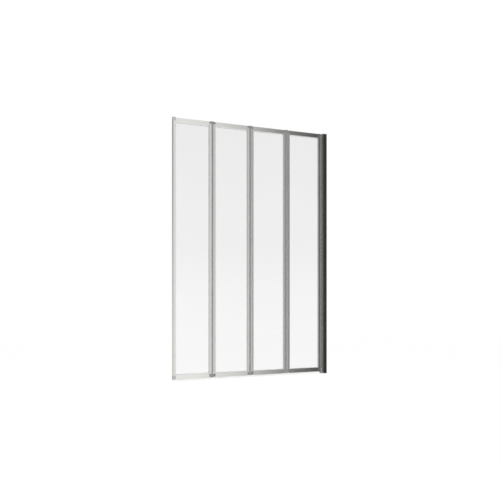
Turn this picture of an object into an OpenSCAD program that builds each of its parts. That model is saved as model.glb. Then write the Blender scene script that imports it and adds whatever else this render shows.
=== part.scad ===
// Folding bath screen: four framed glass panels on double-pivot hinges, carried by a wall channel.
// The wall is the plane X = 0, the bath rim is Z = 0, and the open screen runs towards -X.
// Panels, hinges and bodies are counted from the wall outwards.

/* [Overall] */
// Height from the bath rim to the top of the wall channel's cap
screen_h = 1400; // [1200:5:1500]
// Distance from the wall to the free edge with every panel open
screen_w = 900; // [760:5:1100]

/* [Wall channel] */
// Width of the wall channel across its two legs
channel_w = 24; // [22:0.5:30]
// Depth of the wall channel from the wall to the ends of its legs
channel_d = 24; // [22:0.5:32]
// Thickness of each leg
channel_leg = 1.6; // [1.2:0.1:2]
// Thickness of the web that lies on the wall
channel_web = 2; // [1.5:0.1:3]
// Radius of the corners along the channel
channel_edge_r = 1; // [0.5:0.1:1.2]
// Radius of each wall screw hole
wall_hole_r = 2.75; // [2:0.25:3.5]
// Number of wall screw holes
wall_hole_count = 4; // [2:1:6]
// Distance of the end holes from the channel's ends
wall_hole_end = 100; // [60:5:200]
// Thickness of the cap that closes the channel's top
channel_cap_t = 2; // [1.5:0.5:4]
// Length of the cap's lug inside the channel
channel_cap_lug = 15; // [8:1:30]

/* [Adjusting profile] */
// Distance from the wall to the back of the adjusting profile
adjust_back = 8; // [6:0.5:10]
// How far the adjusting profile stands out of the channel
adjust_proud = 2; // [1:0.5:2.5]
// Wall thickness of the adjusting profile
adjust_wall = 1.5; // [1.2:0.1:2]
// Thickness of the front wall behind the hinge barrel
adjust_front = 3; // [2.5:0.25:4]
// Width of the seal strip in the hollow seat behind the barrel
wall_seal_w = 2.4; // [1.6:0.1:4]
// Depth of the groove that holds that seal strip
wall_seal_d = 1.6; // [1:0.1:2]
// Number of adjusting screws through the channel's leg
adjust_screw_count = 3; // [2:1:5]
// Distance of the end adjusting screws from the channel's ends
adjust_screw_end = 150; // [80:5:250]
// Shank radius of the adjusting screws
adjust_screw_r = 1.9; // [1.5:0.1:2.5]
// Shank length of the adjusting screws under the head
adjust_screw_len = 10; // [6:0.5:14]
// Head radius of the adjusting screws
adjust_head_r = 3.5; // [3:0.1:4]
// Head height of the adjusting screws
adjust_head_h = 2; // [1.5:0.1:2.5]
// Wall thickness of the domed covers over the screw heads
cover_wall = 1.2; // [0.8:0.1:1.6]

/* [Panel frames] */
// Height of the panel frames above the bath rim
frame_lift = 11; // [8:0.5:16]
// How far the panel frames end below the top of the screen
frame_drop = 2.4; // [2:0.1:6]
// Thickness of the rails and of the flat part of the stiles
frame_t = 15; // [13:0.5:16]
// Height of the top and bottom rails
rail_h = 25; // [20:0.5:35]
// Distance from a hinge pivot to the inner edge of its stile
stile_flat = 9.5; // [9:0.25:14]
// The same distance on the stile beside the wall
wall_stile_flat = 18.4; // [14:0.2:26]
// The same distance on the stile at the free edge
free_stile_flat = 11; // [10:0.25:18]
// Wall thickness of the frame extrusions
frame_wall = 1.5; // [1.2:0.1:1.6]
// Radius of the outer corners along the rails
rail_edge_r = 2; // [1:0.25:2.5]
// Radius of the inner corners beside the glass
inner_edge_r = 1; // [0.5:0.1:1.4]
// Height of the plastic end cap at the top of the free stile
free_cap_top_h = 17; // [14:0.5:24]
// Height of the plastic end cap at the bottom of the free stile
free_cap_bottom_h = 20; // [14:0.5:24]
// Corner radius of the free stile's end caps
free_cap_r = 4; // [2:0.25:6]
// Length of each corner key inside its rail
key_len = 25; // [15:1:40]
// Radius of the hole along each corner key
key_hole_r = 2; // [1:0.25:3]

/* [Glass and seals] */
// Glass thickness
glass_t = 4; // [3:0.25:4.5]
// Depth of the glass edge inside the frame
glass_grip = 3.7; // [3:0.1:3.8]
// Width of the glazing groove
groove_w = 7; // [6.5:0.1:8]
// Thickness of the glazing seal under the glass edge
glazing_base = 0.8; // [0.5:0.1:0.9]
// How far the glazing seal shows beside the frame
glazing_lip = 1; // [0.5:0.1:2]
// Width of the slot that holds the bottom seal
seal_slot_w = 3; // [2.5:0.1:4]
// Width of the bottom seal's head behind that slot
seal_head_w = 6; // [5:0.25:7]
// Depth of the space for that head
seal_head_h = 2.2; // [1.8:0.1:3]
// Half width of the bottom seal over its two wiping lips
seal_spread = 5; // [4:0.25:6.5]
// Thickness of the bottom seal's pad under the rail
seal_pad_t = 1.2; // [0.8:0.1:1.6]
// Thickness of the wiping lips
seal_lip_t = 1; // [0.6:0.1:1.4]
// How far the bottom seal ends before the free edge
seal_end = 1; // [0:0.5:5]
// Gap between the bottom seal's lips and the bath rim
seal_rim_gap = 0.5; // [0.5:0.1:2]

/* [Hinges] */
// Radius of the round noses of the hinge barrels on the stiles
barrel_r = 9; // [8.5:0.25:10]
// How far the middle of a barrel's crowned face stands proud of the frame
barrel_proud = 0.8; // [0.5:0.1:1.2]
// Radius of the crown on the barrels' faces
crown_r = 36; // [20:1:80]
// Gap between two hinge barrels
barrel_gap = 1; // [0.8:0.1:2]
// Gap between the wall side barrel and the end of the channel
wall_gap = 1; // [1:0.25:3]
// Radius of the steel hinge pins
pin_r = 2.5; // [2:0.1:2.6]
// Length of the pin inside a hinge cap
pin_seat = 8; // [6:0.5:9]
// Wall thickness of the bushes round the pins
bush_wall = 0.85; // [0.8:0.05:1]
// Wall thickness of the barrels round the bushes
port_wall = 1.2; // [1:0.1:1.6]
// Depth of the bushes inside the barrels
bush_len = 12; // [8:0.5:20]
// Radius of the bushes' flanges
bush_flange_r = 5; // [4.2:0.1:5.5]
// Thickness of those flanges
bush_flange_t = 1; // [0.6:0.1:2]
// Radius of the ends of the hinge caps
link_r = 6; // [5.5:0.1:6]
// Half thickness of the waist between a hinge cap's two ends
link_waist = 5; // [4:0.1:5.4]
// Rise of the arch on a hinge cap
link_rise = 4.5; // [1.5:0.25:5]
// Height of the notch for the hinge caps at the top of the stiles
notch_top = 12; // [11.5:0.5:18]
// Height of the notch for the hinge caps at the bottom of the stiles
notch_bottom = 19; // [16:0.5:23]
// Half width of the seal strip between two barrels
strip_half = 5; // [3:0.25:6]
// Height of the wall pivot's foot
foot_h = 15; // [12:0.5:16]
// Height of the wall pivot's head
head_h = 8.3; // [7:0.1:9]
// Radius of the foot and the head round the wall pivot
foot_r = 6.5; // [6:0.1:6.8]
// Height of the narrow neck on the wall side bushes
neck_h = 1.7; // [1:0.1:2.5]
// Wall thickness of that neck round its pin
neck_wall = 2; // [1.4:0.1:3]
// Length of the spigots that plug into the profiles
spigot_len = 18; // [10:1:30]

/* [Clearances] */
// Radial clearance of a pin in its bush
pin_clear = 0.05; // [0.02:0.01:0.1]
// Clearance between pieces that are pressed or plugged together
fit_gap = 0.03; // [0.02:0.01:0.1]
// Clearance round pieces that slide into place
slide_gap = 0.2; // [0.1:0.05:0.4]
// Clearance between turning faces
turn_gap = 0.3; // [0.2:0.05:0.5]
// Clearance between the wall side barrel and its hollow seat
seat_gap = 0.4; // [0.3:0.05:0.8]

/* [Hidden] */
panel_count = 4;
link_count = panel_count - 1;
PANELS = [1 : panel_count];
LINKS = [1 : link_count];
PANEL_PARTS = [
    "wall_stile", "free_stile", "top_rail", "bottom_rail", "corner_keys",
    "glass", "glazing_seal", "bottom_seal", "bushes"
];
LINK_PARTS = ["top_cap", "bottom_cap", "pins", "seal_strip"];

$fn = 96;
past = 1;                                   // how far a cutter runs past a face
arch_fn = 192;                              // facets of the large arches and crowns
dome = 2;                                   // radius of a domed head over the head's own radius

// Plan positions, as distances from the wall
pivot_pitch = 2 * barrel_r + barrel_gap;    // between the two pivots of one hinge
wall_pivot = channel_d + wall_gap + barrel_r;
frames_w = wall_pivot + wall_stile_flat + link_count * (2 * stile_flat + pivot_pitch)
    + free_stile_flat + barrel_r;
daylight_w = (screen_w - frames_w) / panel_count;   // glass that shows between two stiles
first_span = wall_stile_flat + daylight_w + stile_flat;
middle_span = daylight_w + 2 * stile_flat;
last_span = stile_flat + daylight_w + free_stile_flat;
// Distance from the wall to the wall side pivot and to the outer pivot of panel p
function near_pivot(p) =
    p == 1 ? wall_pivot : wall_pivot + first_span + pivot_pitch + (p - 2) * (middle_span + pivot_pitch);
function far_pivot(p) =
    near_pivot(p) + (p == 1 ? first_span : p == panel_count ? last_span : middle_span);
function near_flat(p) = p == 1 ? wall_stile_flat : stile_flat;
function far_flat(p) = p == panel_count ? free_stile_flat : stile_flat;

// Levels
frame_bottom = frame_lift;
frame_top = screen_h - frame_drop;
frame_h = frame_top - frame_bottom;
barrel_bottom = frame_bottom + notch_bottom;
barrel_top = frame_top - notch_top;
channel_top = screen_h - channel_cap_t;
head_top = channel_top - turn_gap;
head_bottom = head_top - head_h;
free_cap_bottom_top = frame_bottom + free_cap_bottom_h;
free_cap_top_bottom = screen_h - free_cap_top_h;
link_top_from = barrel_top + bush_flange_t + turn_gap;
link_bottom_to = barrel_bottom - bush_flange_t - turn_gap;

// Sections
groove_d = glass_grip + glazing_base + slide_gap;   // the glazing groove's depth, with room to spare
port_r = pin_r + pin_clear + bush_wall + fit_gap;
link_notch = link_r + turn_gap;             // from a pivot to the metal beside a hinge cap
arm_notch = foot_r + turn_gap;              // from the wall pivot to the metal beside its arm
function near_notch(p) = p == 1 ? arm_notch : link_notch;
chamber_half = frame_t / 2 - frame_wall;
rail_chamber_from = frame_wall;
sealed_chamber_from = frame_wall + seal_head_h + frame_wall;
rail_chamber_to = rail_h - groove_d - frame_wall;
adjust_to = channel_d + adjust_proud;
adjust_half = channel_w / 2 - channel_leg - slide_gap;
seat_r = barrel_r + seat_gap;
seat_depth = wall_pivot - seat_r;           // from the wall to the deepest line of the hollow seat
adjust_chamber_to = seat_depth - adjust_front;
adjust_screw_at = (adjust_back + adjust_wall + adjust_chamber_to) / 2;
cover_r = adjust_head_r + turn_gap + cover_wall;
// How far the bottom seals reach past the hinge pivots: their corners turn inside the barrels' radius
seal_past = sqrt((barrel_r - turn_gap) * (barrel_r - turn_gap) - seal_spread * seal_spread);

function spread(i, count, from, to) = from + (to - from) * i / (count - 1);
wall_hole_levels = [for (i = [0 : wall_hole_count - 1])
    spread(i, wall_hole_count, wall_hole_end, channel_top - wall_hole_end)];
adjust_screw_levels = [for (i = [0 : adjust_screw_count - 1])
    spread(i, adjust_screw_count, adjust_screw_end, channel_top - adjust_screw_end)];

METAL = [0.80, 0.81, 0.82];
STEEL = [0.72, 0.72, 0.73];
PLASTIC = [0.44, 0.44, 0.45];
PALE_PLASTIC = [0.62, 0.62, 0.62];
RUBBER = [0.30, 0.30, 0.31];
CLEAR = [0.86, 0.90, 0.90, 0.55];
GLASS = [0.80, 0.88, 0.88, 0.35];

// Turns a plan drawing whose first axis is the distance from the wall into the part's frame
module from_wall(z) {
    translate([0, 0, z]) mirror([1, 0, 0]) children();
}

// Puts a plan drawing of a stile at a pivot: its first axis points from the pivot to the glass
module at_near_pivot(p) {
    translate([-near_pivot(p), 0, 0]) mirror([1, 0, 0]) children();
}
module at_far_pivot(p) {
    translate([-far_pivot(p), 0, 0]) children();
}

// Extrudes a (Y, Z) drawing along X, between two distances from the wall
module along_width(from, to) {
    translate([-to, 0, 0]) rotate([90, 0, 90]) linear_extrude(to - from) children();
}

// A rectangle from [0, -w / 2] to [len, w / 2] with its two far corners rounded
module far_rounded(len, w, r) {
    translate([0, -w / 2]) square([len - r, w]);
    translate([0, r - w / 2]) square([len, w - 2 * r]);
    for (side = [-1, 1]) translate([len - r, side * (w / 2 - r)]) circle(r);
}

// ---- wall side ----

module channel_section() {
    difference() {
        far_rounded(channel_d, channel_w, channel_leg / 2);
        translate([channel_web, channel_leg - channel_w / 2])
            square([channel_d, channel_w - 2 * channel_leg]);
    }
    for (side = [-1, 1])
        translate([channel_d - channel_leg / 2, side * (channel_w - channel_leg) / 2])
            circle(channel_leg / 2);
}

module wall_channel() {
    color(METAL) difference() {
        from_wall(0) linear_extrude(channel_top) channel_section();
        for (z = wall_hole_levels)
            translate([-channel_web - past, 0, z]) rotate([0, 90, 0])
                cylinder(r = wall_hole_r, h = channel_web + 2 * past);
        for (z = adjust_screw_levels)
            translate([-adjust_screw_at, adjust_half, z]) rotate([-90, 0, 0])
                cylinder(r = adjust_screw_r + turn_gap, h = channel_w / 2);
    }
}

module channel_cap() {
    color(PLASTIC) {
        from_wall(channel_top) linear_extrude(channel_cap_t)
            far_rounded(adjust_to, channel_w, channel_edge_r);
        from_wall(channel_top - channel_cap_lug)
            translate([channel_web + slide_gap, -adjust_half, 0])
                cube([adjust_back - channel_web - 2 * slide_gap, 2 * adjust_half, channel_cap_lug]);
    }
}

module adjusting_section() {
    difference() {
        translate([adjust_back, -adjust_half]) square([adjust_to - adjust_back, 2 * adjust_half]);
        translate([adjust_back + adjust_wall, adjust_wall - adjust_half])
            square([adjust_chamber_to - adjust_back - adjust_wall, 2 * (adjust_half - adjust_wall)]);
        translate([wall_pivot, 0]) circle(seat_r);
        translate([seat_depth - wall_seal_d, -wall_seal_w / 2])
            square([wall_seal_d + past, wall_seal_w]);
    }
}

module adjusting_profile() {
    color(METAL) difference() {
        from_wall(foot_h) linear_extrude(head_bottom - foot_h) adjusting_section();
        for (z = adjust_screw_levels)
            translate([-adjust_screw_at, 0, z]) rotate([-90, 0, 0])
                cylinder(r = adjust_screw_r + fit_gap, h = channel_w);
    }
}

module adjusting_screws() {
    color(STEEL) for (z = adjust_screw_levels)
        translate([-adjust_screw_at, channel_w / 2, z]) rotate([-90, 0, 0]) {
            intersection() {
                cylinder(r = adjust_head_r, h = adjust_head_h);
                translate([0, 0, adjust_head_h - dome * adjust_head_r]) sphere(dome * adjust_head_r);
            }
            translate([0, 0, -adjust_screw_len]) cylinder(r = adjust_screw_r, h = adjust_screw_len);
        }
}

module screw_covers() {
    cover_h = adjust_head_h + turn_gap + cover_wall;
    color(PALE_PLASTIC) for (z = adjust_screw_levels)
        translate([-adjust_screw_at, channel_w / 2, z]) rotate([-90, 0, 0]) difference() {
            intersection() {
                cylinder(r = cover_r, h = cover_h);
                translate([0, 0, cover_h - dome * cover_r]) sphere(dome * cover_r);
            }
            translate([0, 0, -past])
                cylinder(r = adjust_head_r + turn_gap, h = adjust_head_h + turn_gap + past);
        }
}

// The arm from the adjusting profile's end round the wall pivot
module pivot_arm_section() {
    translate([wall_pivot, 0]) circle(foot_r);
    translate([adjust_back, -foot_r]) square([wall_pivot - adjust_back, 2 * foot_r]);
    translate([adjust_back, -adjust_half]) square([channel_d - adjust_back, 2 * adjust_half]);
}

module pivot_spigot_section() {
    translate([adjust_back + adjust_wall + fit_gap, adjust_wall + fit_gap - adjust_half])
        square([adjust_chamber_to - adjust_back - adjust_wall - 2 * fit_gap,
                2 * (adjust_half - adjust_wall - fit_gap)]);
}

module pivot_foot() {
    color(PALE_PLASTIC) difference() {
        from_wall(0) {
            linear_extrude(foot_h) pivot_arm_section();
            translate([0, 0, foot_h]) linear_extrude(spigot_len) pivot_spigot_section();
        }
        translate([-wall_pivot, 0, foot_h - pin_seat])
            cylinder(r = pin_r + fit_gap, h = pin_seat + past);
    }
}

module pivot_head() {
    color(PLASTIC) difference() {
        from_wall(0) {
            translate([0, 0, head_bottom]) linear_extrude(head_h) pivot_arm_section();
            translate([0, 0, head_bottom - spigot_len])
                linear_extrude(spigot_len) pivot_spigot_section();
        }
        translate([-wall_pivot, 0, head_bottom - past])
            cylinder(r = pin_r + fit_gap, h = head_h - frame_wall + past);
    }
}

module pivot_pins() {
    lower_from = foot_h - pin_seat + fit_gap;
    upper_to = head_top - frame_wall - fit_gap;
    color(STEEL) translate([-wall_pivot, 0, 0]) {
        translate([0, 0, lower_from])
            cylinder(r = pin_r, h = barrel_bottom + bush_len - lower_from);
        translate([0, 0, barrel_top - bush_len])
            cylinder(r = pin_r, h = upper_to - barrel_top + bush_len);
    }
}

module wall_seal() {
    tip = seat_depth + seat_gap / 2;
    color(RUBBER) from_wall(foot_h) linear_extrude(head_bottom - foot_h)
        translate([seat_depth - wall_seal_d + fit_gap, fit_gap - wall_seal_w / 2])
            square([tip - seat_depth + wall_seal_d - fit_gap, wall_seal_w - 2 * fit_gap]);
}

// ---- panels ----

// A barrel on its pivot, with a round nose and a crowned face on both sides
module barrel_outline(inset) {
    crown_at = crown_r - barrel_proud - frame_t / 2;
    intersection() {
        circle(barrel_r - inset);
        translate([0, crown_at]) circle(crown_r - inset, $fn = arch_fn);
        translate([0, -crown_at]) circle(crown_r - inset, $fn = arch_fn);
    }
}

// Plan section of a stile: the barrel, a flat part, and the glazing groove
module stile_outline(flat) {
    barrel_outline(0);
    far_rounded(flat, frame_t, inner_edge_r);
}

module stile_section(flat) {
    hollow_to = port_r + port_wall - frame_wall;
    groove_from = flat - groove_d;
    box_from = hollow_to + frame_wall;
    box_to = groove_from - frame_wall;
    difference() {
        stile_outline(flat);
        difference() {
            barrel_outline(frame_wall);
            circle(port_r + port_wall);
            translate([hollow_to, -barrel_r]) square([barrel_r, 2 * barrel_r]);
            translate([-barrel_r, -frame_wall / 2]) square([barrel_r, frame_wall]);
        }
        circle(port_r);
        translate([groove_from, -groove_w / 2]) square([groove_d + past, groove_w]);
        if (box_to > box_from)
            translate([box_from, -chamber_half]) square([box_to - box_from, 2 * chamber_half]);
    }
}

// Cuts the barrel away, up to a given distance from the pivot towards the glass
module stile_notch(from, to, reach) {
    translate([-barrel_r - past, -barrel_r - past, from])
        cube([barrel_r + past + reach, 2 * (barrel_r + past), to - from]);
}

module hinge_stile(flat, reach) {
    color(METAL) difference() {
        translate([0, 0, frame_bottom]) linear_extrude(frame_h) stile_section(flat);
        stile_notch(frame_bottom - past, barrel_bottom, reach);
        stile_notch(barrel_top, frame_top + past, reach);
    }
}

module free_edge_stile() {
    color(METAL) translate([0, 0, free_cap_bottom_top])
        linear_extrude(free_cap_top_bottom - free_cap_bottom_top) stile_section(free_stile_flat);
}

module wall_stile(p) {
    at_near_pivot(p) hinge_stile(near_flat(p), near_notch(p));
}

module free_stile(p) {
    at_far_pivot(p) {
        if (p == panel_count) free_edge_stile();
        else hinge_stile(stile_flat, link_notch);
    }
}

// A (Y, Z) section with the outer edge at Z = 0 and the glazing groove at the other edge
module rail_section(chamber_from) {
    difference() {
        union() {
            translate([-frame_t / 2, rail_edge_r])
                square([frame_t, rail_h - rail_edge_r - inner_edge_r]);
            translate([rail_edge_r - frame_t / 2, 0]) square([frame_t - 2 * rail_edge_r, rail_h]);
            for (side = [-1, 1]) {
                translate([side * (frame_t / 2 - rail_edge_r), rail_edge_r]) circle(rail_edge_r);
                translate([side * (frame_t / 2 - inner_edge_r), rail_h - inner_edge_r])
                    circle(inner_edge_r);
            }
            translate([inner_edge_r - frame_t / 2, rail_h / 2])
                square([frame_t - 2 * inner_edge_r, rail_h / 2]);
        }
        translate([-chamber_half, chamber_from])
            square([2 * chamber_half, rail_chamber_to - chamber_from]);
        translate([-groove_w / 2, rail_h - groove_d]) square([groove_w, groove_d + past]);
    }
}

module rail_between_stiles(p) {
    along_width(near_pivot(p) + near_flat(p), far_pivot(p) - far_flat(p)) children();
}

module top_rail(p) {
    color(METAL) translate([0, 0, frame_top]) mirror([0, 0, 1])
        rail_between_stiles(p) rail_section(rail_chamber_from);
}

module bottom_rail(p) {
    color(METAL) translate([0, 0, frame_bottom]) rail_between_stiles(p) difference() {
        rail_section(sealed_chamber_from);
        translate([-seal_slot_w / 2, -past]) square([seal_slot_w, frame_wall + 2 * past]);
        translate([-seal_head_w / 2 - slide_gap, frame_wall])
            square([seal_head_w + 2 * slide_gap, seal_head_h]);
    }
}

// A key plugs into a rail's chamber, with a tongue in the stile's groove beside it
module corner_key(chamber_from, tongue_from) {
    key_half = chamber_half - fit_gap;
    low = chamber_from + fit_gap;
    high = rail_chamber_to - fit_gap;
    tongue_half = groove_w / 2 - fit_gap;
    along_width(0, key_len) difference() {
        translate([-key_half, low]) square([2 * key_half, high - low]);
        translate([0, (low + high) / 2]) circle(key_hole_r);
    }
    along_width(-tongue_from, 0)
        translate([-tongue_half, low]) square([2 * tongue_half, high - low]);
}

module corner_keys(p) {
    near_edge = near_pivot(p) + near_flat(p);
    far_edge = far_pivot(p) - far_flat(p);
    near_tongue = min(groove_d, near_flat(p) - near_notch(p)) - slide_gap;
    far_tongue = min(groove_d, far_flat(p) - link_notch) - slide_gap;
    color(PALE_PLASTIC) {
        translate([-near_edge, 0, frame_bottom]) corner_key(sealed_chamber_from, near_tongue);
        translate([-far_edge, 0, frame_bottom]) mirror([1, 0, 0])
            corner_key(sealed_chamber_from, far_tongue);
        translate([-near_edge, 0, frame_top]) mirror([0, 0, 1])
            corner_key(rail_chamber_from, near_tongue);
        translate([-far_edge, 0, frame_top]) mirror([0, 0, 1]) mirror([1, 0, 0])
            corner_key(rail_chamber_from, far_tongue);
    }
}

module glass(p) {
    from = near_pivot(p) + near_flat(p) - glass_grip;
    to = far_pivot(p) - far_flat(p) + glass_grip;
    low = frame_bottom + rail_h - glass_grip;
    high = frame_top - rail_h + glass_grip;
    color(GLASS) translate([-to, -glass_t / 2, low]) cube([to - from, glass_t, high - low]);
}

// A U section that hugs a glass edge: its base lies at Z = 0 in the groove, its legs point up
module glazing_section() {
    half = groove_w / 2 - fit_gap;
    inner = glass_t / 2 + fit_gap;
    reach = glazing_base + glass_grip + glazing_lip;
    tip = inner + (half - inner) / 2;
    translate([-half, 0]) square([2 * half, glazing_base - fit_gap]);
    for (side = [-1, 1]) scale([side, 1])
        polygon([[inner, 0], [half, 0], [half, reach - glazing_lip], [tip, reach], [inner, reach]]);
}

module glazing_seal(p) {
    near_edge = near_pivot(p) + near_flat(p);
    far_edge = far_pivot(p) - far_flat(p);
    base = glass_grip + glazing_base;
    low = frame_bottom + rail_h;
    high = frame_top - rail_h;
    color(CLEAR) {
        translate([0, 0, low - base]) along_width(near_edge - base, far_edge + base)
            glazing_section();
        translate([0, 0, high + base]) mirror([0, 0, 1])
            along_width(near_edge - base, far_edge + base) glazing_section();
        for (end = [[near_edge - base, 1], [far_edge + base, -1]])
            translate([-end[0], 0, low + glazing_lip])
                linear_extrude(high - low - 2 * glazing_lip)
                    rotate(end[1] * 90) glazing_section();
    }
}

// Two wiping lips under a base pad, held in the rail's slot by a wider head
module bottom_seal_section() {
    pad_top = frame_bottom - turn_gap;
    pad_bottom = pad_top - seal_pad_t;
    neck_half = seal_slot_w / 2 - fit_gap;
    head_from = frame_bottom + frame_wall + fit_gap;
    lip_from = pad_bottom + seal_pad_t / 2;
    translate([-neck_half, pad_top]) square([2 * neck_half, head_from + fit_gap - pad_top]);
    translate([-seal_head_w / 2, head_from]) square([seal_head_w, seal_head_h - 2 * fit_gap]);
    translate([-seal_spread + seal_lip_t, pad_bottom])
        square([2 * (seal_spread - seal_lip_t), seal_pad_t]);
    for (side = [-1, 1]) scale([side, 1])
        polygon([
            [neck_half, lip_from], [neck_half + seal_lip_t, lip_from],
            [seal_spread, seal_rim_gap], [seal_spread - seal_lip_t, seal_rim_gap]
        ]);
}

module bottom_seal(p) {
    near_edge = near_pivot(p) + near_flat(p);
    far_edge = far_pivot(p) - far_flat(p);
    from = near_pivot(p) + (p == 1 ? foot_r + 2 * turn_gap : -seal_past);
    to = far_pivot(p) + (p == panel_count ? barrel_r - seal_end : seal_past);
    color(CLEAR) {
        along_width(near_edge, far_edge) bottom_seal_section();
        along_width(from, to) intersection() {
            bottom_seal_section();
            translate([-frame_t, 0]) square([2 * frame_t, frame_bottom - turn_gap]);
        }
    }
}

module bush_bore() {
    cylinder(r = pin_r + pin_clear, h = screen_h);
}

// A flanged bush in the end of a barrel: its flange is below the barrel, its shank above
module link_bush() {
    cylinder(r = port_r - fit_gap, h = bush_len);
    translate([0, 0, -bush_flange_t]) cylinder(r = bush_flange_r, h = bush_flange_t);
}

// The same beside the wall: a long collar and a narrow neck fill the notch down to the pivot's arm
module wall_bush(room) {
    cylinder(r = port_r - fit_gap, h = bush_len);
    translate([0, 0, neck_h - room]) cylinder(r = foot_r, h = room - neck_h);
    translate([0, 0, -room]) cylinder(r = pin_r + neck_wall, h = neck_h);
}

module bushes(p) {
    pivots = p == panel_count ? [near_pivot(p)] : [near_pivot(p), far_pivot(p)];
    color(PALE_PLASTIC) for (at = pivots) translate([-at, 0, 0]) difference() {
        union() {
            translate([0, 0, barrel_bottom]) {
                if (at == wall_pivot) wall_bush(barrel_bottom - foot_h - turn_gap);
                else link_bush();
            }
            translate([0, 0, barrel_top]) mirror([0, 0, 1]) {
                if (at == wall_pivot) wall_bush(head_bottom - turn_gap - barrel_top);
                else link_bush();
            }
        }
        bush_bore();
    }
}

// ---- free edge ----

module free_cap_body(low, high) {
    translate([0, 0, low]) linear_extrude(high - low) difference() {
        stile_outline(free_stile_flat);
        translate([free_stile_flat - groove_d, -groove_w / 2]) square([groove_d + past, groove_w]);
    }
}

// Side view of a cap: flat at Z = 0, both corners rounded at Z = h
module free_cap_side(h) {
    w = barrel_r + free_stile_flat;
    translate([-barrel_r, 0]) {
        square([w, h - free_cap_r]);
        translate([free_cap_r, 0]) square([w - 2 * free_cap_r, h]);
        for (x = [free_cap_r, w - free_cap_r]) translate([x, h - free_cap_r]) circle(free_cap_r);
    }
}

module free_cap(h) {
    intersection() {
        free_cap_body(0, h);
        translate([0, barrel_r + past, 0]) rotate([90, 0, 0])
            linear_extrude(2 * (barrel_r + past)) free_cap_side(h);
    }
    translate([0, 0, -spigot_len]) cylinder(r = port_r - fit_gap, h = spigot_len);
}

module free_cap_top() {
    color(PLASTIC) at_far_pivot(panel_count) translate([0, 0, free_cap_top_bottom])
        free_cap(free_cap_top_h);
}

module free_cap_bottom() {
    color(PLASTIC) at_far_pivot(panel_count) translate([0, 0, free_cap_bottom_top])
        mirror([0, 0, 1]) free_cap(free_cap_bottom_h);
}

// ---- hinge links ----

// Puts a drawing midway between the two pivots of link l
module at_link(l) {
    translate([-far_pivot(l) - pivot_pitch / 2, 0, 0]) children();
}

module link_plan() {
    for (side = [-1, 1]) translate([side * pivot_pitch / 2, 0]) circle(link_r);
    translate([-pivot_pitch / 2, -link_waist]) square([pivot_pitch, 2 * link_waist]);
}

// A hinge cap over two pins: flat at Z = 0, arched at Z = h
module link_cap(h) {
    half = pivot_pitch / 2 + link_r;
    arch_r = (half * half + link_rise * link_rise) / (2 * link_rise);
    difference() {
        intersection() {
            linear_extrude(h) link_plan();
            translate([0, link_r + past, h - arch_r]) rotate([90, 0, 0])
                cylinder(r = arch_r, h = 2 * (link_r + past), $fn = arch_fn);
        }
        for (side = [-1, 1]) translate([side * pivot_pitch / 2, 0, -past])
            cylinder(r = pin_r + fit_gap, h = pin_seat + past);
    }
}

module link_top_cap(l) {
    color(PLASTIC) at_link(l) translate([0, 0, link_top_from]) link_cap(screen_h - link_top_from);
}

module link_bottom_cap(l) {
    color(PLASTIC) at_link(l) translate([0, 0, link_bottom_to]) mirror([0, 0, 1])
        link_cap(link_bottom_to - frame_bottom);
}

module link_pins(l) {
    reach = bush_flange_t + turn_gap + bush_len + pin_seat - fit_gap;
    color(STEEL) at_link(l) for (side = [-1, 1]) translate([side * pivot_pitch / 2, 0, 0]) {
        translate([0, 0, link_bottom_to - pin_seat + fit_gap]) cylinder(r = pin_r, h = reach);
        translate([0, 0, link_top_from + pin_seat - fit_gap - reach]) cylinder(r = pin_r, h = reach);
    }
}

// A strip with hollow flanks that follows both barrels and closes the gap between them
module link_seal_strip(l) {
    color(RUBBER) at_link(l) translate([0, 0, link_bottom_to])
        linear_extrude(link_top_from - link_bottom_to) difference() {
            square([barrel_r, 2 * strip_half], center = true);
            for (side = [-1, 1]) translate([side * pivot_pitch / 2, 0])
                circle(barrel_r + turn_gap);
        }
}

wall_channel();
channel_cap();
adjusting_profile();
adjusting_screws();
screw_covers();
pivot_foot();
pivot_head();
pivot_pins();
wall_seal();
for (p = PANELS) {
    wall_stile(p);
    free_stile(p);
    top_rail(p);
    bottom_rail(p);
    corner_keys(p);
    glass(p);
    glazing_seal(p);
    bottom_seal(p);
    bushes(p);
}
free_cap_top();
free_cap_bottom();
for (l = LINKS) {
    link_top_cap(l);
    link_bottom_cap(l);
    link_pins(l);
    link_seal_strip(l);
}
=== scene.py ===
"""Looks of the folding bath screen: materials, studio light and the photograph's camera."""

import math

import bmesh
import bpy
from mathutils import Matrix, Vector

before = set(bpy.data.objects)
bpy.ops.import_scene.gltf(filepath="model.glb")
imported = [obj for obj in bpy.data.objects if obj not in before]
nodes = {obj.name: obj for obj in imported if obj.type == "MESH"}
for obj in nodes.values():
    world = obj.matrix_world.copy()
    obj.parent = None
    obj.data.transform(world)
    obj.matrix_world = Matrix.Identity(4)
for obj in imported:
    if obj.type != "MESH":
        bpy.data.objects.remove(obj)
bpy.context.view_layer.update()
scene = bpy.context.scene

# ---- node helpers ----

# The sockets of a colour mix: factor, A and B, and its colour result
MIX_INPUTS = (0, 6, 7)
MIX_RESULT = 2


def new_tree(name):
    """An empty node material and its tree."""
    material = bpy.data.materials.new(name)
    material.use_nodes = True
    material.node_tree.nodes.clear()
    return material, material.node_tree


def add(tree, kind, **settings):
    """A shader node with its properties set."""
    made = tree.nodes.new(kind)
    for key, value in settings.items():
        setattr(made, key, value)
    return made


def put(tree, socket, value):
    """Links an output to a socket, or sets the socket's own value."""
    if isinstance(value, bpy.types.NodeSocket):
        tree.links.new(value, socket)
    else:
        socket.default_value = value


def put_out(tree, kind, surface):
    """Shows a shader through the tree's output node."""
    tree.links.new(surface, add(tree, kind).inputs["Surface"])


def math_node(tree, operation, *values):
    """The result of one sum on numbers or outputs."""
    made = add(tree, "ShaderNodeMath", operation=operation)
    for socket, value in zip(made.inputs, values):
        put(tree, socket, value)
    return made.outputs[0]


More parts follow.
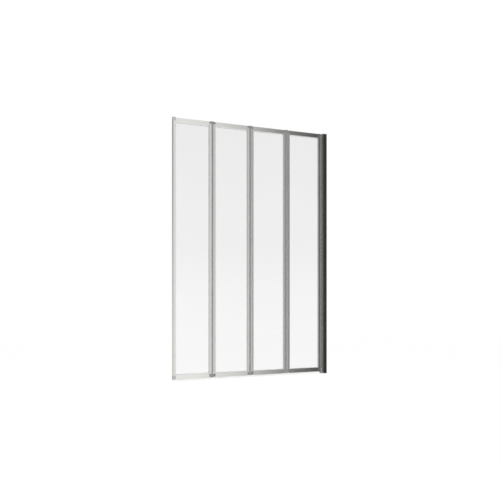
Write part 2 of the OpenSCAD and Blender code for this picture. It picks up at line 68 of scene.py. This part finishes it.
def remap(tree, factor, low, high, start=0.0, end=1.0):
    """A value that goes from low to high while the factor goes from start to end."""
    made = add(tree, "ShaderNodeMapRange")
    put(tree, made.inputs["Value"], factor)
    put(tree, made.inputs["From Min"], start)
    put(tree, made.inputs["From Max"], end)
    put(tree, made.inputs["To Min"], low)
    put(tree, made.inputs["To Max"], high)
    return made.outputs["Result"]


def mix(tree, factor, off, on):
    """The colour off where the factor is 0, and on where it is 1."""
    made = add(tree, "ShaderNodeMix", data_type="RGBA")
    for index, value in zip(MIX_INPUTS, (factor, off, on)):
        if isinstance(value, float):
            value = (value, value, value, 1)
        put(tree, made.inputs[index], value)
    return made.outputs[MIX_RESULT]


def ramp(tree, factor, stops):
    """A colour ramp from (position, grey or colour) stops."""
    made = add(tree, "ShaderNodeValToRGB")
    elements = made.color_ramp.elements
    while len(elements) < len(stops):
        elements.new(0.5)
    for element, (position, colour) in zip(elements, stops):
        element.position = position
        grey = isinstance(colour, (int, float))
        element.color = (colour, colour, colour, 1) if grey else (*colour, 1)
    put(tree, made.inputs["Fac"], factor)
    return made.outputs["Color"]


def mottle(tree, pattern, dark, light, spread=0.2):
    """A colour that goes from dark to light over the middle of a noise pattern."""
    return ramp(tree, pattern, [(0.5 - spread, dark), (0.5 + spread, light)])


def noise(tree, scales, detail):
    """Noise in the object's own metres, with a scale for each axis."""
    place = add(tree, "ShaderNodeTexCoord")
    mapping = add(tree, "ShaderNodeMapping")
    put(tree, mapping.inputs["Vector"], place.outputs["Object"])
    put(tree, mapping.inputs["Scale"], scales)
    made = add(tree, "ShaderNodeTexNoise")
    put(tree, made.inputs["Vector"], mapping.outputs["Vector"])
    put(tree, made.inputs["Scale"], 1.0)
    put(tree, made.inputs["Detail"], detail)
    return made.outputs["Fac"]


def bump(tree, height, strength, distance):
    """A normal that follows a height pattern."""
    made = add(tree, "ShaderNodeBump")
    put(tree, made.inputs["Height"], height)
    put(tree, made.inputs["Strength"], strength)
    put(tree, made.inputs["Distance"], distance)
    return made.outputs["Normal"]


def shader(tree, **inputs):
    """A Principled shader on the material's output, with its inputs set by name."""
    made = add(tree, "ShaderNodeBsdfPrincipled")
    for key, value in inputs.items():
        put(tree, made.inputs[key.replace("_", " ")], value)
    put_out(tree, "ShaderNodeOutputMaterial", made.outputs["BSDF"])


# ---- materials ----

# Noise scales, in features per metre
DIE_LINES, DIE_DRIFT = 2600.0, 2.5      # across an extrusion, and along it
PIN_RINGS, PIN_DRIFT = 3000.0, 40.0     # along a pin, and across it
METAL_CLOUD = (9.0, 9.0, 9.0)
PLASTIC_CLOUD = (40.0, 40.0, 40.0)
PLASTIC_GRAIN = (1800.0, 1800.0, 1800.0)
VINYL_CLOUD = (30.0, 400.0, 400.0)
GLASS_FILM = (3.0, 3.0, 1.2)
FLOOR_SPECK = (6.0, 6.0, 6.0)

# Colours
BRIGHT_ALUMINIUM = (0.885, 0.885, 0.86)
WARM_ALUMINIUM = (0.89, 0.89, 0.84)
STEEL_DARK, STEEL_LIGHT = (0.62, 0.62, 0.63), (0.72, 0.72, 0.73)
GLASS_DARK, GLASS_LIGHT = (0.868, 0.873, 0.869), (0.878, 0.883, 0.879)
VINYL_DARK, VINYL_LIGHT = (0.95, 0.955, 0.945), (0.98, 0.98, 0.97)
CAP_GREY = (0.37, 0.37, 0.36)
PALE_GREY = (0.50, 0.50, 0.49)
RUBBER_GREY = (0.36, 0.36, 0.36)

# The darkest parts of a cloudy finish, as a share of its colour
METAL_DIM = 0.97
PLASTIC_DIM = 0.93

GLASS_IOR = 1.56
MILKY_IOR, CLEAR_IOR = 1.3, 1.12        # low, as the soft lips let light past


def dimmed(colour, share):
    """A colour at a share of its brightness."""
    return tuple(channel * share for channel in colour)


def aluminium(name, along, rough, colour=BRIGHT_ALUMINIUM):
    """Polished extruded aluminium, with faint die lines along one axis."""
    material, tree = new_tree(name)
    scales = [DIE_LINES] * 3
    scales["XYZ".index(along)] = DIE_DRIFT
    lines = noise(tree, scales, detail=2.0)
    cloud = noise(tree, METAL_CLOUD, detail=4.0)
    shader(
        tree,
        Base_Color=mottle(tree, cloud, dimmed(colour, METAL_DIM), colour),
        Metallic=1.0,
        Roughness=remap(tree, cloud, *rough),
        Normal=bump(tree, lines, strength=0.15, distance=0.00004),
    )
    return material


def steel(name, rough):
    """Turned steel, with rings round each pin."""
    material, tree = new_tree(name)
    rings = noise(tree, (PIN_DRIFT, PIN_DRIFT, PIN_RINGS), detail=2.0)
    shader(
        tree,
        Base_Color=mottle(tree, rings, STEEL_DARK, STEEL_LIGHT, spread=0.15),
        Metallic=1.0,
        Roughness=remap(tree, rings, *rough),
        Normal=bump(tree, rings, strength=0.2, distance=0.00004),
    )
    return material


def plastic(name, colour, rough, metallic=0.0):
    """Moulded plastic or rubber with a fine grain, plain or with a metal effect."""
    material, tree = new_tree(name)
    grain = noise(tree, PLASTIC_GRAIN, detail=3.0)
    cloud = noise(tree, PLASTIC_CLOUD, detail=3.0)
    shader(
        tree,
        Base_Color=mottle(tree, cloud, dimmed(colour, PLASTIC_DIM), colour),
        Metallic=metallic,
        Roughness=remap(tree, cloud, *rough),
        Normal=bump(tree, grain, strength=0.25, distance=0.00005),
    )
    return material


def clear_glass(name):
    """Clear toughened glass with the faintest unevenness in its tint."""
    material, tree = new_tree(name)
    film = noise(tree, GLASS_FILM, detail=2.0)
    shader(
        tree,
        Base_Color=mottle(tree, film, GLASS_DARK, GLASS_LIGHT),
        Transmission_Weight=1.0,
        Roughness=0.0,
        IOR=GLASS_IOR,
    )
    return material


def vinyl(name, rough, clearness, density):
    """Soft milky or clear vinyl, slightly cloudy along its length."""
    material, tree = new_tree(name)
    cloud = noise(tree, VINYL_CLOUD, detail=3.0)
    shader(
        tree,
        Base_Color=mottle(tree, cloud, VINYL_DARK, VINYL_LIGHT),
        Transmission_Weight=clearness,
        Roughness=remap(tree, cloud, *rough),
        IOR=density,
        Normal=bump(tree, cloud, strength=0.1, distance=0.0001),
    )
    return material


MATERIALS = {
    "stile": aluminium("stile_aluminium", along="Z", rough=(0.18, 0.23)),
    "rail": aluminium("rail_aluminium", along="X", rough=(0.15, 0.20)),
    "channel": aluminium(
        "channel_aluminium", along="Z", rough=(0.09, 0.13), colour=WARM_ALUMINIUM
    ),
    "glass": clear_glass("clear_glass"),
    "milky": vinyl("milky_vinyl", rough=(0.25, 0.35), clearness=0.1, density=MILKY_IOR),
    "clear": vinyl("clear_vinyl", rough=(0.25, 0.35), clearness=0.94, density=CLEAR_IOR),
    "dark": plastic("dark_plastic", CAP_GREY, rough=(0.34, 0.42), metallic=0.5),
    "pale": plastic("pale_plastic", PALE_GREY, rough=(0.42, 0.52)),
    "rubber": plastic("grey_rubber", RUBBER_GREY, rough=(0.55, 0.7)),
    "steel": steel("turned_steel", rough=(0.24, 0.34)),
}

# The finish of each kind of node, by the end of its name. The first that fits counts.
FINISHES = [
    ("_seal_strip", "rubber"),
    ("wall_seal", "rubber"),
    ("glazing_seal", "milky"),
    ("bottom_seal", "clear"),
    ("_glass", "glass"),
    ("_stile", "stile"),
    ("_rail", "rail"),
    ("wall_channel", "channel"),
    ("adjusting_profile", "channel"),
    ("_screws", "steel"),
    ("pins", "steel"),
    ("free_cap_top", "pale"),
    ("free_cap_bottom", "pale"),
    ("screw_covers", "pale"),
    ("corner_keys", "pale"),
    ("_cap", "dark"),
    ("bushes", "dark"),
    ("pivot_foot", "dark"),
    ("pivot_head", "dark"),
]


def finish_of(name):
    """The finish of the node with this name."""
    return next(finish for ending, finish in FINISHES if name.endswith(ending))


def dress(thing, material):
    """Gives an object this material alone."""
    thing.data.materials.clear()
    thing.data.materials.append(material)


for name, thing in nodes.items():
    dress(thing, MATERIALS[finish_of(name)])

# ---- stage and light ----

MIDDLE = (-0.45, 0, 0.7)    # of the screen
RIM_HEIGHT = 0.56           # a bath rim above the bathroom floor
FLOOR_HALF = 8.0
FLOOR_GREYS = (0.86, 0.88)
FLOOR_GLOW = 1.06           # what the eye sees of the floor's own light, where 1 is white
GLOW_SHARE = 0.85           # the rest shows the floor's colour and shadow
SOFT_LIGHT = 0.72           # the even light from all sides
BACKDROP = 1.0              # white to the eye

# What polished metal mirrors, by the turn from straight ahead of the screen: degrees,
# then the grey at the low and at the high elevation
STUDIO_AROUND = [
    (-180, 1.00, 1.00), (-165, 0.90, 0.90), (-150, 0.86, 0.80), (-135, 0.92, 0.60),
    (-90, 0.73, 0.21), (-60, 0.47, 0.21), (-35, 0.12, 0.11), (-15, 0.12, 0.11),
    (-5, 0.41, 0.36), (3, 0.86, 0.77), (8, 1.00, 0.95), (13, 0.88, 0.80),
    (18, 0.62, 0.57), (22, 0.18, 0.16), (26, 0.015, 0.015), (31, 0.015, 0.015),
    (45, 0.67, 0.67), (60, 1.00, 1.00), (95, 1.00, 1.00), (110, 0.80, 0.80),
    (125, 0.42, 0.38), (140, 0.48, 0.42), (158, 0.85, 0.80), (170, 1.00, 1.00),
    (180, 1.00, 1.00),
]
STUDIO_LOW, STUDIO_HIGH = -0.12, 0.25       # those two elevations, as sines
STUDIO_OVERHEAD = 0.75
OVERHEAD_FROM, OVERHEAD_FULL = 0.6, 0.95    # sines, above and below alike

# What the glass mirrors, by the sine of the elevation
STUDIO_UPWARD = [
    (-1.0, 2.0), (-0.12, 2.0), (-0.01, 1.6), (0.1, 0.65), (0.2, 0.5), (0.33, 0.0),
    (1.0, 0.0),
]


def light_path(tree):
    """The light path's outputs, and 1 for rays to the background, also through glass."""
    path = add(tree, "ShaderNodeLightPath").outputs
    sight = math_node(tree, "MAXIMUM", path["Is Camera Ray"], path["Is Transmission Ray"])
    return path, sight


def seen_by_metal(tree, axes):
    """The greys that polished metal mirrors in each direction."""
    ahead = math_node(tree, "MULTIPLY", axes["Y"], -1.0)
    angle = math_node(tree, "ARCTAN2", axes["X"], ahead)
    turn = math_node(tree, "MULTIPLY_ADD", angle, 0.5 / math.pi, 0.5)
    low = ramp(tree, turn, [(0.5 + at / 360, grey) for at, grey, _ in STUDIO_AROUND])
    high = ramp(tree, turn, [(0.5 + at / 360, grey) for at, _, grey in STUDIO_AROUND])
    rise = remap(tree, axes["Z"], 0.0, 1.0, start=STUDIO_LOW, end=STUDIO_HIGH)
    steepness = math_node(tree, "ABSOLUTE", axes["Z"])
    steep = ramp(tree, steepness, [(OVERHEAD_FROM, 0.0), (OVERHEAD_FULL, 1.0)])
    return mix(tree, steep, mix(tree, rise, low, high), STUDIO_OVERHEAD)


def seen_by_glass(tree, axes):
    """The greys that the sharp glass mirrors at each height."""
    height = math_node(tree, "MULTIPLY_ADD", axes["Z"], 0.5, 0.5)
    return ramp(tree, height, [(0.5 + sine / 2, grey) for sine, grey in STUDIO_UPWARD])


def studio_world():
    """White to the eye, a soft even light on matt things, and a shaded room in mirrors."""
    world = bpy.data.worlds.new("studio")
    scene.world = world
    world.use_nodes = True
    tree = world.node_tree
    tree.nodes.clear()
    split = add(tree, "ShaderNodeSeparateXYZ")
    direction = add(tree, "ShaderNodeTexCoord").outputs["Generated"]
    put(tree, split.inputs["Vector"], direction)
    axes = split.outputs

    path, sight = light_path(tree)
    seen = mix(tree, path["Is Glossy Ray"], SOFT_LIGHT, seen_by_metal(tree, axes))
    seen = mix(tree, path["Is Singular Ray"], seen, seen_by_glass(tree, axes))
    seen = mix(tree, sight, seen, BACKDROP)
    background = add(tree, "ShaderNodeBackground")
    put(tree, background.inputs["Color"], seen)
    put_out(tree, "ShaderNodeOutputWorld", background.outputs["Background"])


def floor():
    """A pale bathroom floor below the bath rim. Its glow whitens it to the eye alone."""
    material, tree = new_tree("pale_floor")
    speck = noise(tree, FLOOR_SPECK, detail=3.0)
    pale = add(tree, "ShaderNodeBsdfDiffuse")
    put(tree, pale.inputs["Color"], mottle(tree, speck, *FLOOR_GREYS))
    glow = add(tree, "ShaderNodeEmission")
    put(tree, glow.inputs["Strength"], FLOOR_GLOW)
    share = math_node(tree, "MULTIPLY", light_path(tree)[1], GLOW_SHARE)
    blend = add(tree, "ShaderNodeMixShader")
    for socket, value in zip(blend.inputs, (share, pale.outputs[0], glow.outputs[0])):
        put(tree, socket, value)
    put_out(tree, "ShaderNodeOutputMaterial", blend.outputs["Shader"])

    mesh = bmesh.new()
    bmesh.ops.create_grid(mesh, x_segments=1, y_segments=1, size=FLOOR_HALF)
    data = bpy.data.meshes.new("floor")
    mesh.to_mesh(data)
    mesh.free()
    made = bpy.data.objects.new("floor", data)
    made.location = (MIDDLE[0], MIDDLE[1], -RIM_HEIGHT)
    scene.collection.objects.link(made)
    dress(made, material)
    made.visible_glossy = False


def soft_box(name, place, size, power):
    """An area light on the screen's middle that shades matt surfaces, unseen in mirrors."""
    data = bpy.data.lights.new(name, "AREA")
    data.size = size
    data.energy = power
    made = bpy.data.objects.new(name, data)
    made.location = place
    aim = Vector(MIDDLE) - Vector(place)
    made.rotation_euler = aim.to_track_quat("-Z", "Y").to_euler()
    made.visible_glossy = False
    made.visible_camera = False
    made.visible_transmission = False
    scene.collection.objects.link(made)


studio_world()
floor()
soft_box("key_light", place=(0.6, -2.7, 0.2), size=1.6, power=38)
soft_box("back_light", place=(1.2, 2.6, 2.2), size=1.6, power=22)

# ---- camera ----

EYE = (-1.2315, -2.4377, 0.4638)
TURN_TO_WALL = 17.411           # degrees from square on
SENSOR_WIDTH, LENS = 36, 32.99  # millimetres
IMAGE_WIDTH = 500
HORIZON_ROW = 293.9             # the photograph's horizon, in its pixels

camera_data = bpy.data.cameras.new("camera")
camera_data.sensor_width = SENSOR_WIDTH
camera_data.lens = LENS
camera_data.shift_y = (HORIZON_ROW - IMAGE_WIDTH / 2) / IMAGE_WIDTH
camera = bpy.data.objects.new("camera", camera_data)
camera.location = EYE
camera.rotation_euler = (math.radians(90), 0, -math.radians(TURN_TO_WALL))
scene.collection.objects.link(camera)
scene.camera = camera

scene.view_settings.view_transform = "Standard"
